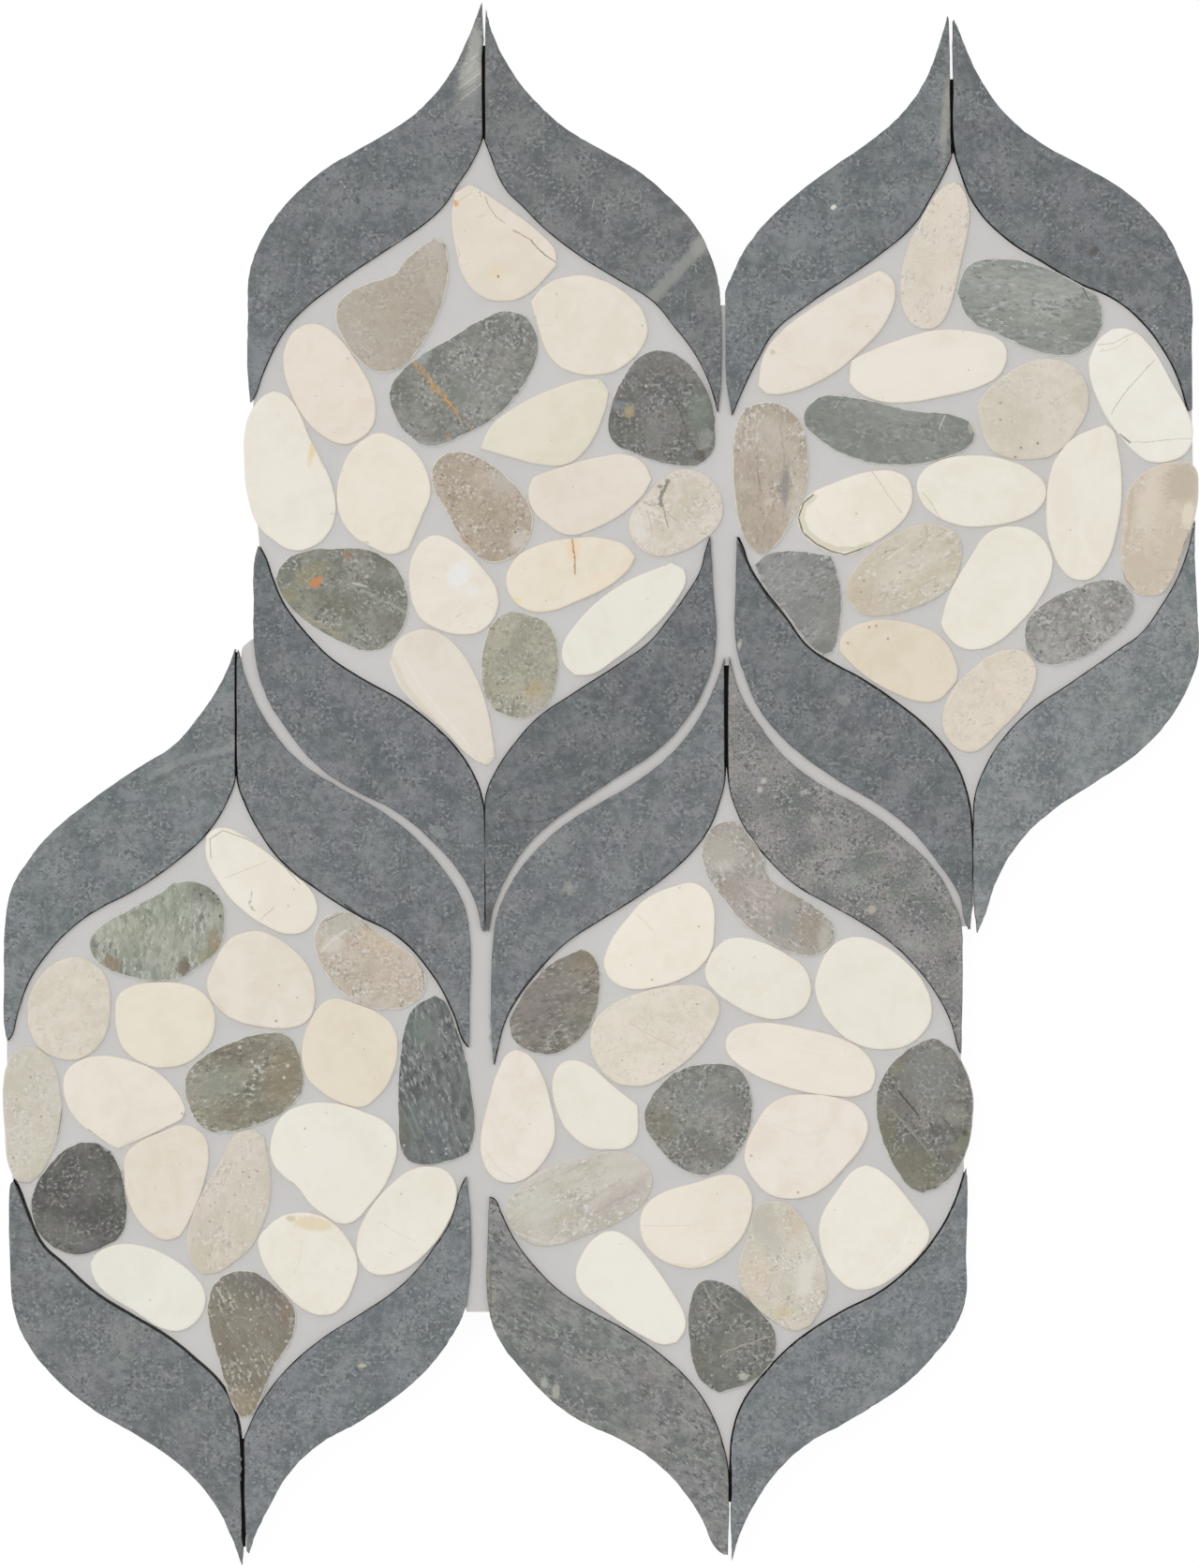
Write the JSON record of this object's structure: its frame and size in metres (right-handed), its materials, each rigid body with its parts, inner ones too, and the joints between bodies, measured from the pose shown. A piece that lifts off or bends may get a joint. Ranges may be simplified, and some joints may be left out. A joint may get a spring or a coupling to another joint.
{
  "type": "pebble mosaic tile sheet",
  "caption": "Flat mosaic sheet of sawn river pebbles set in light grout inside four pointed medallions framed by dark stone strips, for cladding a wall or floor.",
  "frame": {"origin": "centre of the sheet's box, on its back", "axes": "+Z out of the sheet's face, +Y towards the medallions' upper tips, +X to the right seen from the face"},
  "size_m": [0.319, 0.4172, 0.01],
  "materials": {
    "grout": "matt sanded cement grout, light grey",
    "slate_strip": "honed dark blue-grey stone with pale scratches",
    "white_pebble": "honed near-white river pebble",
    "cream_pebble": "honed cream river pebble",
    "blush_pebble": "honed pinkish cream river pebble",
    "beige_pebble": "honed mottled beige river pebble",
    "taupe_pebble": "honed speckled taupe quartzite pebble",
    "green_pebble": "honed grey-green pebble with rust marks",
    "dark_pebble": "honed dark grey pebble with pale veins"
  },
  "bodies": {
    "root": {"grout_bed": "grout", "top_left.strip_upper_left": "slate_strip", "top_left.strip_upper_right": "slate_strip", "top_left.strip_lower_left": "slate_strip", "top_left.strip_lower_right": "slate_strip", "top_right.strip_upper_left": "slate_strip", "top_right.strip_upper_right": "slate_strip", "top_right.strip_lower_left": "slate_strip", "top_right.strip_lower_right": "slate_strip", "bottom_left.strip_upper_left": "slate_strip", "bottom_left.strip_upper_right": "slate_strip", "bottom_left.strip_lower_left": "slate_strip", "bottom_left.strip_lower_right": "slate_strip", "bottom_right.strip_upper_left": "slate_strip", "bottom_right.strip_upper_right": "slate_strip", "bottom_right.strip_lower_left": "slate_strip", "bottom_right.strip_lower_right": "slate_strip", "top_left.veined_green": "green_pebble", "top_left.rusty_green": "green_pebble", "top_left.large_white": "white_pebble", "top_left.dark_green": "dark_pebble", "top_left.taupe_pear": "taupe_pebble", "top_left.wide_cream": "cream_pebble", "top_left.round_cream": "cream_pebble", "top_left.cracked_cream": "cream_pebble", "top_left.bevelled_cream": "cream_pebble", "top_left.pink_cream": "blush_pebble", "top_right.banded_green": "green_pebble", "top_right.large_cream": "white_pebble", "top_right.tall_cream": "cream_pebble", "top_right.cracked_white": "white_pebble", "top_right.striped_taupe": "taupe_pebble", "top_right.pink_cream": "blush_pebble", "top_right.long_cream": "cream_pebble", "top_right.greenish_beige": "beige_pebble", "top_right.long_green": "green_pebble", "top_right.warm_tan": "beige_pebble", "bottom_left.large_white": "white_pebble", "bottom_left.dark_slate": "dark_pebble", "bottom_left.rusty_green": "green_pebble", "bottom_left.olive_grey": "green_pebble", "bottom_left.brown_teardrop": "taupe_pebble", "bottom_left.near_black": "dark_pebble", "bottom_left.pink_cream": "blush_pebble", "bottom_left.grainy_beige": "beige_pebble", "bottom_left.bevelled_cream": "white_pebble", "bottom_left.yellow_cream": "cream_pebble", "bottom_right.cracked_olive": "dark_pebble", "bottom_right.round_cream": "white_pebble", "bottom_right.blush_cream": "blush_pebble", "bottom_right.mottled_grey": "beige_pebble", "bottom_right.bevelled_cream": "white_pebble", "bottom_right.bedded_beige": "beige_pebble", "bottom_right.dark_grey": "dark_pebble", "bottom_right.bent_mauve": "taupe_pebble", "bottom_right.wide_cream": "cream_pebble", "bottom_right.quartz_beige": "beige_pebble", "bottom_right.low_cream": "cream_pebble", "bottom_right.long_cream": "cream_pebble", "bottom_right.veined_olive": "dark_pebble"}
  },
  "joints": []
}
